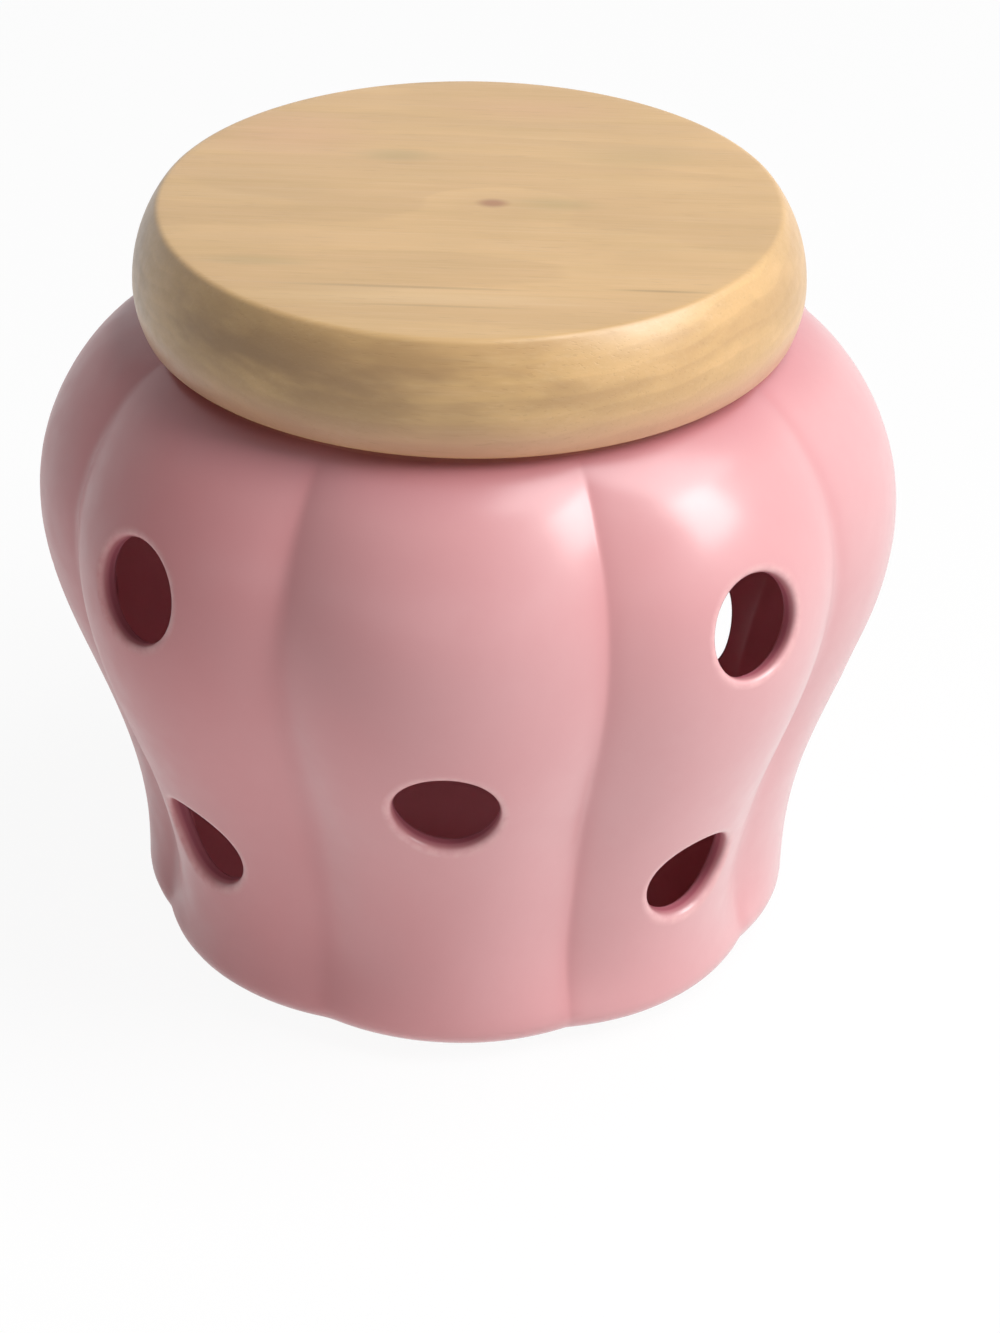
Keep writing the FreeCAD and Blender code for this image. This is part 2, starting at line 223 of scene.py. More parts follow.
def form_levels():
    """Height, crest radius and crease depth of each level, from the heel to the collar."""
    levels = [(FOOT_HEIGHT + HEEL_ROUND, HEEL_RADIUS, HEEL_CREASE * CREASE_DEPTH)]
    for level, swell, crease in RISE:
        height = FOOT_HEIGHT + level * (SHOULDER_HEIGHT - FOOT_HEIGHT)
        radius = HEEL_RADIUS + swell * (SHOULDER_RADIUS - HEEL_RADIUS)
        levels.append((height, radius, crease * CREASE_DEPTH))
    for level, tuck, crease in DOME:
        height = SHOULDER_HEIGHT + level * (COLLAR_HEIGHT - SHOULDER_HEIGHT)
        radius = SHOULDER_RADIUS - tuck * (SHOULDER_RADIUS - COLLAR_RADIUS)
        levels.append((height, radius, crease * CREASE_DEPTH))
    return np.array(levels)


def spline_bends(knots, values):
    """Second derivatives of the natural cubic spline through values at knots."""
    gaps = np.diff(knots)
    slopes = np.diff(values, axis=0) / gaps[:, None]
    matrix = np.eye(len(knots))
    right = np.zeros_like(values)
    for index in range(1, len(knots) - 1):
        before, after = gaps[index - 1], gaps[index]
        matrix[index, index - 1 : index + 2] = before, 2 * (before + after), after
        right[index] = 6 * (slopes[index] - slopes[index - 1])
    return np.linalg.solve(matrix, right)


LEVELS = form_levels()
KNOTS = np.concatenate([[0], np.cumsum(np.hypot(*np.diff(LEVELS[:, :2], axis=0).T))])
BENDS = spline_bends(KNOTS, LEVELS)
ALONG = np.linspace(0, KNOTS[-1], ROWS + 1)


def profile(along):
    """Height, crest radius and crease depth at distances up the wall from the heel."""
    index = np.clip(np.searchsorted(KNOTS, along) - 1, 0, len(KNOTS) - 2)
    gap = KNOTS[index + 1] - KNOTS[index]
    upper = ((along - KNOTS[index]) / gap)[:, None]
    lower = 1 - upper
    bent = (lower**3 - lower) * BENDS[index] + (upper**3 - upper) * BENDS[index + 1]
    return lower * LEVELS[index] + upper * LEVELS[index + 1] + bent * gap[:, None] ** 2 / 6


def lobed_radius(angles, crest, depth, share, inset=0.0):
    """Radius of the lobed outline at each angle: lobe arcs, with a tangent blend arc in each crease.

    The share is how far up the form the outline is, 0 at the heel and 1 at the collar.
    """
    turn = np.abs((angles + HALF_LOBE) % (2 * HALF_LOBE) - HALF_LOBE)
    nearest = np.floor(angles / (2 * HALF_LOBE)).astype(int) % LOBES
    crease = crest - depth
    chord = crease * math.sin(HALF_LOBE)
    rise = crest - crease * math.cos(HALF_LOBE)
    lobe = (chord**2 + rise**2) / (2 * rise)
    centre = crest - lobe
    lobe = lobe - inset
    low, high = np.array(CREASE_BLENDS)[nearest].T
    blend = low + share * (high - low) + inset
    reach = centre * math.cos(HALF_LOBE) + np.sqrt((lobe + blend) ** 2 - (centre * math.sin(HALF_LOBE)) ** 2)
    side = lobe * reach * math.sin(HALF_LOBE) / (lobe + blend)
    out = centre + lobe * (reach * math.cos(HALF_LOBE) - centre) / (lobe + blend)
    on_lobe = centre * np.cos(turn) + np.sqrt(np.maximum(lobe**2 - (centre * np.sin(turn)) ** 2, 0))
    rest = HALF_LOBE - turn
    in_crease = reach * np.cos(rest) - np.sqrt(np.maximum(blend**2 - (reach * np.sin(rest)) ** 2, 0))
    return np.where(turn < np.arctan2(side, out), on_lobe, in_crease)


def outer_wall(angles, along):
    """Points of the jar's outside."""
    height, crest, depth = profile(along).T
    radius = lobed_radius(angles, crest, depth, along / KNOTS[-1])
    return np.stack([radius * np.cos(angles), radius * np.sin(angles), height], axis=1)


def inner_wall(angles, along):
    """Points of the jar's inside, the wall's thickness from its outside."""
    here = outer_wall(angles, along)
    sideways = outer_wall(angles + DIFFERENCE, along) - here
    upwards = outer_wall(angles, along + DIFFERENCE) - here
    inward = np.cross(upwards, sideways)
    return here + WALL * inward / np.linalg.norm(inward, axis=1, keepdims=True)


def column_angles():
    """Angles of the mesh's columns, closer together towards the creases."""
    share = np.arange(COLUMNS) / COLUMNS * 2 - 1
    within = HALF_LOBE * (share + CROWDING * np.sin(math.pi * share) / math.pi)
    crests = np.arange(LOBES) * 2 * HALF_LOBE
    return (crests[:, None] + within[None, :]).ravel()


ANGLES = column_angles()


class Vent:
    """One vent: its axis, square to the wall near a level, and the block of the wall's grid that it takes."""

    def __init__(self, level, drop, lobe):
        height, crest, _ = LEVELS[level]
        below, above = LEVELS[level - 1], LEVELS[level + 1]
        lean = math.atan((above[1] - below[1]) / (above[0] - below[0]))
        angle = lobe * 2 * HALF_LOBE
        around = np.array([math.cos(angle), math.sin(angle), 0])
        self.axis = around * math.cos(lean) - np.array([0, 0, math.sin(lean)])
        self.right = np.array([-math.sin(angle), math.cos(angle), 0])
        self.up = np.cross(self.axis, self.right)
        self.centre = around * crest + np.array([0, 0, height - drop])
        self.angle = angle
        heights = profile(ALONG)[:, 0]
        self.along = float(np.interp(height - drop, heights, ALONG))
        reach = VENT_RADIUS + VENT_LIP + VENT_MARGIN
        self.low = int(np.searchsorted(ALONG, self.along - reach)) - 1
        self.high = int(np.searchsorted(ALONG, self.along + reach))
        column = lobe * COLUMNS + COLUMNS // 2
        half = int(np.argmax((ANGLES[column : column + COLUMNS // 2] - angle) * crest > reach))
        self.left = column - half
        self.right_column = column + half

    def offsets(self, points):
        """How far points lie from the axis, to the right and up."""
        away = points - self.centre
        return np.stack([away @ self.right, away @ self.up], axis=1)

    def border(self):
        """Rows and columns of the grid points around the block, anticlockwise from its lower left."""
        columns = np.arange(self.left, self.right_column)
        rows = np.arange(self.low, self.high)
        edge = [
            (np.full(len(columns), self.low), columns),
            (rows, np.full(len(rows), self.right_column)),
            (np.full(len(columns), self.high), columns[::-1] + 1),
            (rows[::-1] + 1, np.full(len(rows), self.left)),
        ]
        return np.concatenate([part[0] for part in edge]), np.concatenate([part[1] for part in edge])

    def on_wall(self, wall, wanted, angles, along):
        """Points of a wall at the wanted offsets from the axis, found by stepping from a first guess."""
        for _ in range(SEARCH_STEPS):
            here = self.offsets(wall(angles, along))
            by_angle = (self.offsets(wall(angles + DIFFERENCE, along)) - here) / DIFFERENCE
            by_along = (self.offsets(wall(angles, along + DIFFERENCE)) - here) / DIFFERENCE
            miss = wanted - here
            scale = by_angle[:, 0] * by_along[:, 1] - by_angle[:, 1] * by_along[:, 0]
            angles = angles + (miss[:, 0] * by_along[:, 1] - miss[:, 1] * by_along[:, 0]) / scale
            along = along + (by_angle[:, 0] * miss[:, 1] - by_angle[:, 1] * miss[:, 0]) / scale
        return wall(angles, along)

    def rings(self, wall, lip):
        """Rings of points on a wall from the block's border in to the lip's start, then its sharp edge."""
        rows, columns = self.border()
        angles = ANGLES[columns % len(ANGLES)]
        angles = self.angle + (angles - self.angle + math.pi) % (2 * math.pi) - math.pi
        along = ALONG[rows]
        border = self.offsets(wall(angles, along))
        first = math.atan2(border[0, 1], border[0, 0])
        turn = first + np.arange(len(border)) / len(border) * 2 * math.pi
        around = np.stack([np.cos(turn), np.sin(turn)], axis=1)
        found = []
        for share in VENT_RING_SHARES:
            wanted = border + share * ((VENT_RADIUS + lip) * around - border)
            found.append(self.on_wall(wall, wanted, angles, along))
        edge = self.on_wall(wall, VENT_RADIUS * around, angles, along)
        return found, edge


def lip_rings(start, edge, end):
    """Rings that round a sharp edge off, between where the rounding starts and ends."""
    for share in LIP_SHARES:
        yield (1 - share) ** 2 * start + 2 * share * (1 - share) * edge + share**2 * end


def add_vent(skin, vent, outer, inner):
    """The mesh of one vent, from the outside's grid through the bore to the inside's grid."""
    rows, columns = vent.border()
    columns = columns % len(ANGLES)
    flat, edge = vent.rings(outer_wall, VENT_LIP)
    inner_flat, inner_edge = vent.rings(inner_wall, VENT_INNER_LIP)
    bore = edge - VENT_LIP * vent.axis
    inner_bore = inner_edge + VENT_INNER_LIP * vent.axis
    loops = [outer[rows, columns]]
    for ring, thin in zip(flat, VENT_RING_THIN):
        loops.append(skin.add(ring, lip=thin))
    # Painted shade deepens from the lip's rounding into the bore.
    for ring, thin in zip(lip_rings(flat[-1], edge, bore), LIP_THIN):
        loops.append(skin.add(ring, lip=thin, pool=(1.0 - thin) / 2))
    for ring, pool, inside in zip((bore, (bore + inner_bore) / 2, inner_bore), BORE_SHADE, BORE_INSIDE):
        loops.append(skin.add(ring, pool=pool, inside=inside))
    for ring in lip_rings(inner_bore, inner_edge, inner_flat[-1]):
        loops.append(skin.add(ring, pool=INNER_LIP_SHADE, inside=1.0))
    for ring in inner_flat[::-1]:
        loops.append(skin.add(ring, inside=1.0))
    loops.append(inner[rows, columns])
    for first, second in zip(loops, loops[1:]):
        skin.bridge(first, second)


def quarter_round(steps):
    """Cosine and sine up a quarter turn, both ends left out."""
    turns = np.arange(1, steps) / steps * math.pi / 2
    return zip(np.cos(turns), np.sin(turns))


def heel_row(height, inset):
    """A row of the rounded corner at the heel."""
    _, crest, depth = LEVELS[0]
    return circle(lobed_radius(ANGLES, crest, depth, 0.0, inset), height, ANGLES)


def base_rows():
    """Rows from the heel under the base and over the foot ring to the centre, with how bare the clay is."""
    for cosine, sine in quarter_round(HEEL_STEPS):
        yield heel_row(FOOT_HEIGHT + HEEL_ROUND * (1 - sine), HEEL_ROUND * (1 - cosine)), 0.0
    yield heel_row(FOOT_HEIGHT, HEEL_ROUND), 0.0
    inner = FOOT_RADIUS - FOOT_WIDTH
    outline = (
        (FOOT_RADIUS + FOOT_ROUND, FOOT_HEIGHT, 0.0),
        (FOOT_RADIUS + FOOT_ROUND / 3, FOOT_HEIGHT - FOOT_ROUND / 3, 0.0),
        (FOOT_RADIUS, FOOT_HEIGHT - FOOT_ROUND, 0.2),
        (FOOT_RADIUS, FOOT_ROUND, 0.8),
        (FOOT_RADIUS - FOOT_ROUND / 3, FOOT_ROUND / 3, 1.0),
        (FOOT_RADIUS - FOOT_ROUND, 0.0, 1.0),
        (FOOT_RADIUS - FOOT_WIDTH / 2, 0.0, 1.0),
        (inner + FOOT_ROUND, 0.0, 1.0),
        (inner + FOOT_ROUND / 3, FOOT_ROUND / 3, 1.0),
        (inner, FOOT_ROUND, 0.8),
        (inner, FOOT_HEIGHT - FOOT_ROUND, 0.2),
        (inner - FOOT_ROUND / 3, FOOT_HEIGHT - FOOT_ROUND / 3, 0.0),
        (inner - FOOT_ROUND, FOOT_HEIGHT, 0.0),
        (0.80 * inner, FOOT_HEIGHT + 0.25 * BASE_RISE, 0.0),
        (0.50 * inner, FOOT_HEIGHT + 0.75 * BASE_RISE, 0.0),
        (0.25 * inner, FOOT_HEIGHT + BASE_RISE, 0.0),
        (0.08 * inner, FOOT_HEIGHT + BASE_RISE, 0.0),
    )
    for radius, height, bare in outline:
        yield circle(radius, height, ANGLES), bare


def mouth_rows():
    """Rows from the collar over the rim and down the mouth to its lower edge, with how thin the glaze is."""
    fillet = NECK_RADIUS + NECK_FILLET
    yield circle((fillet + COLLAR_RADIUS) / 2, COLLAR_HEIGHT + 0.05, ANGLES), 0.0
    yield circle(fillet, COLLAR_HEIGHT + NECK_FILLET_RISE, ANGLES), 0.0
    yield circle(NECK_RADIUS + 0.05, RIM - RIM_ROUND - 0.03, ANGLES), 0.3
    for cosine, sine in quarter_round(RIM_STEPS):
        yield circle(NECK_RADIUS - RIM_ROUND * (1 - cosine), RIM - RIM_ROUND * (1 - sine), ANGLES), 0.9
    yield circle(NECK_RADIUS - RIM_ROUND, RIM, ANGLES), 0.6
    yield circle(MOUTH_RADIUS + RIM_ROUND, RIM, ANGLES), 0.6
    for cosine, sine in quarter_round(RIM_STEPS):
        yield circle(MOUTH_RADIUS + RIM_ROUND * (1 - sine), RIM - RIM_ROUND * (1 - cosine), ANGLES), 0.9
    yield circle(MOUTH_RADIUS, RIM - RIM_ROUND, ANGLES), 0.4
    ceiling = COLLAR_HEIGHT - WALL * MOUTH_WALL_SHARE
    yield circle(MOUTH_RADIUS, (RIM + ceiling) / 2, ANGLES), 0.0
    yield circle(MOUTH_RADIUS, ceiling + RIM_ROUND, ANGLES), 0.2
    for cosine, sine in quarter_round(CEILING_STEPS):
        yield circle(MOUTH_RADIUS + RIM_ROUND * (1 - cosine), ceiling + RIM_ROUND * (1 - sine), ANGLES), 0.5
    yield circle(MOUTH_RADIUS + RIM_ROUND, ceiling, ANGLES), 0.2


def floor_rows():
    """Rows of the rounded corner inside the jar and of its floor, to the centre."""
    for cosine, sine in quarter_round(HEEL_STEPS):
        yield heel_row(FLOOR + FLOOR_ROUND * (1 - sine), WALL + FLOOR_ROUND * (1 - cosine))
    yield heel_row(FLOOR, WALL + FLOOR_ROUND)
    for radius in FLOOR_RADII:
        yield circle(radius, FLOOR, ANGLES)


def casting_turn(angle):
    """How far the casting is turned at an angle, in radians, eased from one crest or crease to the next."""
    step = np.degrees(angle) % 360 / math.degrees(HALF_LOBE)
    before = np.minimum(step.astype(int), len(TURNED) - 2)
    share = step - before
    share = share**2 * (3 - 2 * share)
    turns = np.array(TURNED)
    return np.radians((1 - share) * turns[before] + share * turns[before + 1])


def hand_made(points):
    """The same points, turned as the casting is, with its slight unevenness between the foot and the neck."""
    x, y, z = points.T
    angle = np.arctan2(y, x)
    wave = 0.06 * np.sin(3 * angle + 0.6) * np.cos(z / 21)
    wave += 0.05 * np.sin(5 * angle + z / 27 + 2.1)
    wave += 0.03 * np.sin(2 * angle - z / 16 + 4.0)
    uneven = np.clip((z - UNEVEN_FROM) / UNEVEN_RISE, 0, 1) * np.clip((UNEVEN_TO - z) / UNEVEN_DROP, 0, 1)
    scale = 1 + uneven * (wave - UNEVEN_INSET) / np.maximum(np.hypot(x, y), 1)
    turn = casting_turn(angle)
    cosine, sine = np.cos(turn), np.sin(turn)
    return np.stack([(x * cosine - y * sine) * scale, (x * sine + y * cosine) * scale, z], axis=1)


def crease_shades(angles):
    """How near each column is to the bottom of a crease, 1 on its line."""
    rest = HALF_LOBE - np.abs((angles + HALF_LOBE) % (2 * HALF_LOBE) - HALF_LOBE)
    return np.exp(-((rest * SHOULDER_RADIUS / CREASE_LINE) ** 2))


def neck_shade(height):
    """How deep the painted shadow under the lid is at a height on the outside, none until just below the
    neck.
    """
    share = max((height - NECK_SHADE_START) / (COLLAR_HEIGHT - NECK_SHADE_START), 0)
    return NECK_SHADE_DEPTH * share**NECK_SHADE_POWER


def make_jar(material):
    """The glazed jar as one closed skin: outside, vents, base, rim and inside."""
    skin = Skin("crease", "lip", "bare", "pool", "inside")
    crease = crease_shades(ANGLES)
    heights = profile(ALONG)[:, 0]
    outer = []
    for along, height in zip(ALONG, heights):
        points = outer_wall(ANGLES, np.full(len(ANGLES), along))
        # Painted shadow under the lid, just below the neck.
        outer.append(skin.add(points, crease=crease, pool=neck_shade(height)))
    outer = np.array(outer)
    lowest = int(np.searchsorted(heights, FLOOR + FLOOR_ROUND))
    inner = np.full_like(outer, -1)
    for row in range(lowest, ROWS + 1):
        inner[row] = skin.add(inner_wall(ANGLES, np.full(len(ANGLES), ALONG[row])), inside=1.0)
    taken = np.zeros((ROWS, len(ANGLES)), bool)
    for level, drop, diagonal in VENT_ROWS:
        for lobe in range(int(diagonal), LOBES, 2):
            vent = Vent(level, drop - VENT_STRAYS.get((level, lobe), 0.0), lobe)
            columns = np.arange(vent.left, vent.right_column) % len(ANGLES)
            taken[vent.low : vent.high, columns] = True
            add_vent(skin, vent, outer, inner)
    for row in range(ROWS):
        skin.bridge(outer[row], outer[row + 1], ~taken[row])
        if row >= lowest:
            skin.bridge(inner[row + 1], inner[row], ~taken[row])
    last = outer[0]
    for points, bare in base_rows():
        row = skin.add(points, bare=bare)
        skin.bridge(row, last)
        last = row
    skin.fan(last[::-1], skin.add([[0, 0, FOOT_HEIGHT + BASE_RISE]])[0])
    last = outer[-1]
    for points, lip in mouth_rows():
        row = skin.add(points, lip=lip)
        skin.bridge(last, row)
        last = row
    skin.bridge(last, inner[-1])
    last = inner[lowest]
    for points in floor_rows():
        row = skin.add(points, inside=1.0)
        skin.bridge(last, row)
        last = row
    skin.fan(last, skin.add([[0, 0, FLOOR]], inside=1.0)[0])
    skin.points = hand_made(np.array(skin.points)).tolist()
    return skin.make("jar_glazed", material, "jar")


# The turned lid and the ring.

LID_TOP = LID_HIGH.z / MM
LID_RADIUS = LID_HIGH.x / MM
LID_BELLY = RIM + 5.5
LID_TOP_RADIUS = LID_RADIUS - 3.65
LID_BASE_RADIUS = LID_RADIUS - 1.3
LID_EDGE = 0.7
PLUG_BASE = LID_LOW.z / MM
PLUG_RADIUS = MOUTH_RADIUS - 1.5
PLUG_ROUND = 1.0
GROOVE_TOP = RIM - 1.6
GROOVE_BASE = GROOVE_TOP - 3.2
GROOVE_RADIUS = PLUG_RADIUS - 2.0
GROOVE_ROUND = 0.3
# Where the rows of the underside start and end, and where those of the level top start.
SEAT_START = PLUG_RADIUS + 1.0
SEAT_END = LID_BASE_RADIUS - 1.5
TOP_START = LID_TOP_RADIUS - 2.0
# Rows over the plug's end, the underside, half the side and the top, and columns around the lid.
PLUG_ROWS = 6
SEAT_ROWS = 4
BELLY_ROWS = 14
TOP_ROWS = 14
LID_STEPS = 288

# The silicone ring: its ribs' radius, its gap to the groove, its chamfers, and the ledges beside the ribs.
RING_RIB = 0.6
RING_GAP = 0.05
RING_CHAMFER = 0.2
RING_SHOULDER = 0.1
# The ribs' sweep to each side in degrees, the steps over each, and columns around the ring.
RIB_SWEEP = 85
RIB_STEPS = 8
RING_STEPS = 256


def arc(centre, radius, start, end, steps):
    """Points of an arc from one angle to another, in degrees."""
    turns = np.radians(np.linspace(start, end, steps + 1))
    return [(centre[0] + radius * math.cos(turn), centre[1] + radius * math.sin(turn)) for turn in turns]


def line(start, end, steps):
    """Points from a start to just before an end."""
    return [tuple(np.array(start) + (np.array(end) - start) * step / steps) for step in range(steps)]


def belly_curve():
    """The bulging side from the base edge to the top edge: one arc below the widest level and one above."""
    points = []
    for edge, height in ((LID_BASE_RADIUS, RIM), (LID_TOP_RADIUS, LID_TOP)):
        drop = LID_BELLY - height
        inset = LID_RADIUS - edge
        radius = (drop**2 + inset**2) / (2 * inset)
        sweep = math.degrees(math.asin(drop / radius))
        points.append(arc((LID_RADIUS - radius, LID_BELLY), radius, -sweep, 0, BELLY_ROWS))
    return points[0][:-1] + points[1][::-1]


def round_corner(corner, back, onward, radius, steps=5):
    """Points of a curve that rounds a corner off, given the ways back and onward along its two sides."""
    start = corner + radius * np.array(back) / np.linalg.norm(back)
    end = corner + radius * np.array(onward) / np.linalg.norm(onward)
    shares = np.linspace(0, 1, steps + 1)
    return [tuple((1 - s) ** 2 * start + 2 * s * (1 - s) * corner + s**2 * end) for s in shares]


def lid_outline():
    """The lid's outline from the centre of its plug's end, round its side to the centre of its top."""
    inward, outward, down, up = (-1, 0), (1, 0), (0, -1), (0, 1)
    side = belly_curve()
    base, top = np.array(side[0]), np.array(side[-1])
    plug = np.array([PLUG_RADIUS, PLUG_BASE])
    points = line((0.0, PLUG_BASE), plug - (PLUG_ROUND, 0), PLUG_ROWS)
    points += round_corner(plug, inward, up, PLUG_ROUND)
    for corner, back, onward in (
        ((PLUG_RADIUS, GROOVE_BASE), down, inward),
        ((GROOVE_RADIUS, GROOVE_BASE), outward, up),
        ((GROOVE_RADIUS, GROOVE_TOP), down, outward),
        ((PLUG_RADIUS, GROOVE_TOP), inward, up),
        ((PLUG_RADIUS, RIM), down, outward),
    ):
        points += round_corner(np.array(corner), back, onward, GROOVE_ROUND, 3)
    points += line((SEAT_START, RIM), (SEAT_END, RIM), SEAT_ROWS)
    points += round_corner(base, inward, side[2] - base, LID_EDGE)
    points += side[2:-2]
    points += round_corner(top, side[-3] - top, inward, LID_EDGE)
    points += line((TOP_START, LID_TOP), (0.0, LID_TOP), TOP_ROWS)
    return points


def turned(skin, outline, steps, closed):
    """Turn an outline about the Z axis: a ring if it is closed, otherwise a solid with poles at its ends."""
    angles = np.arange(steps) / steps * 2 * math.pi
    rows = [skin.add(circle(radius, height, angles)) for radius, height in outline if radius > 0]
    for first, second in zip(rows, rows[1:]):
        skin.bridge(first, second)
    if closed:
        skin.bridge(rows[-1], rows[0])
    else:
        skin.fan(rows[0][::-1], skin.add([[0, 0, outline[0][1]]])[0])
        skin.fan(rows[-1], skin.add([[0, 0, outline[-1][1]]])[0])


def make_lid(material):
    """The lid: one turning of wood."""
    skin = Skin()
    turned(skin, lid_outline(), LID_STEPS, False)
    return skin.make("lid_turned", material, "lid")


def make_ring(material):
    """The silicone ring: flat towards the groove, with two half-round ribs towards the mouth."""
    skin = Skin()
    low, high = RING_LOW.z / MM, RING_HIGH.z / MM
    wall = RING_HIGH.x / MM - RING_RIB
    groove = GROOVE_RADIUS + RING_GAP
    outline = [(groove, low + RING_CHAMFER), (groove + RING_CHAMFER, low)]
    outline += [(wall - RING_CHAMFER, low), (wall, low + RING_SHOULDER)]
    for share in (0.25, 0.75):
        outline += arc((wall, low + share * (high - low)), RING_RIB, -RIB_SWEEP, RIB_SWEEP, RIB_STEPS)
    outline += [(wall, high - RING_SHOULDER), (wall - RING_CHAMFER, high)]
    outline += [(groove + RING_CHAMFER, high), (groove, high - RING_CHAMFER)]
    turned(skin, outline, RING_STEPS, True)
    return skin.make("seal_ring_moulded", material, "seal_ring")


# Materials.

# Tones of the glaze and of the clay under it.
# Painted shade and painted light: the glaze is darker and deeper at the left and paler at the right, where
# the light falls.
GLAZE_SHADED_LEFT = (0.612, 0.218, 0.228, 1)
GLAZE_LIT_RIGHT = (0.648, 0.356, 0.368, 1)
GLAZE_CLOUD = (0.595, 0.252, 0.263, 1)
GLAZE_CREASE = (0.535, 0.200, 0.212, 1)
GLAZE_LIP = (0.80, 0.50, 0.49, 1)
# A redder glaze inside, also painted brighter to stand in for the light that reaches the inside.
GLAZE_INSIDE_BRIGHTENED = (0.89, 0.355, 0.42, 1)
# Painted shade: the dark tone laid into the vents' bores and below the neck, under the lid.
GLAZE_PAINTED_SHADE = (0.43, 0.12, 0.155, 1)
CLAY_DARK = (0.72, 0.62, 0.52, 1)
CLAY_PALE = (0.84, 0.77, 0.68, 1)
# Across the jar in millimetres: where the glaze changes from painted shade at the left to painted light at
# the right, and where its coat changes from dull to glossy, with the coat's weight at each end.
SHADED_TO_LIT = (-60.0, 60.0)
DULL_TO_GLOSSY = (-50.0, 10.0)
COAT_WEIGHTS = (0.28, 0.82)

# Tones of the wood and of the marks on the lid's top.
WOOD_DARK = (0.575, 0.360, 0.148, 1)
WOOD_PALE = (0.655, 0.408, 0.176, 1)
WOOD_RING = (0.50, 0.295, 0.125, 1)
WOOD_STREAK = (0.50, 0.32, 0.145, 1)
WOOD_FIBRE = (0.70, 0.49, 0.275, 1)
WOOD_KNOT = (0.33, 0.135, 0.055, 1)
WOOD_PORE = (0.40, 0.23, 0.09, 1)
# Painted shade on the lid's side, mottled, strongest where it faces left and high up.
WOOD_SIDE_SHADE = (0.24, 0.125, 0.050, 1)
# Painted reflection: the pink of the glaze bounced onto the lid's side just above the rim.
WOOD_PAINTED_BOUNCE = (0.57, 0.31, 0.225, 1)
OLIVE = (0.42, 0.29, 0.115, 1)
ROSY = (0.66, 0.375, 0.20, 1)
CREAM = (0.72, 0.50, 0.265, 1)
UMBER = (0.38, 0.235, 0.095, 1)

# The tree's heart under the lid, the growth rings to a millimetre, and how many millimetres they bend by.
HEART = (0, -9, -60)
GROWTHS_PER_MM = 0.42
GROWTH_SWAY = 9.0
GROWTH_RIPPLE = 1.6
GROWTH_AT_KNOT = 2.2
# The knot's place, one over its reach along and across the grain, and the shares of that where it fades.
KNOT = (3.2, -0.5, 0)
KNOT_STRETCH = (0.36, 0.55, 0)
KNOT_FADE = (0.25, 1.1)
# Smears, patches and lines on the lid's top: the middle, half the length, half the width, strength and tone.
TOP_MARKS = (
    (-11.3, 15.3, 8.0, 3.6, 0.60, OLIVE),
    (12.5, -0.3, 9.0, 3.2, 0.55, OLIVE),
    (-28.0, -21.5, 12.0, 2.8, 0.50, OLIVE),
    (24.0, 17.0, 14.0, 6.0, 0.30, OLIVE),
    (-27.0, 22.0, 18.0, 12.0, 0.55, ROSY),
    (8.0, 33.0, 20.0, 7.0, 0.40, ROSY),
    (-4.0, -31.5, 30.0, 3.4, 0.40, CREAM),
    (27.5, -27.5, 11.0, 0.7, 0.90, UMBER),
    (-6.0, -28.6, 24.0, 0.6, 0.60, UMBER),
    (-2.0, -34.2, 18.0, 0.5, 0.50, UMBER),
)

SILICONE_DARK = (0.78, 0.77, 0.72, 1)
SILICONE_PALE = (0.84, 0.83, 0.80, 1)
SILICONE_DUST = (0.66, 0.60, 0.50, 1)


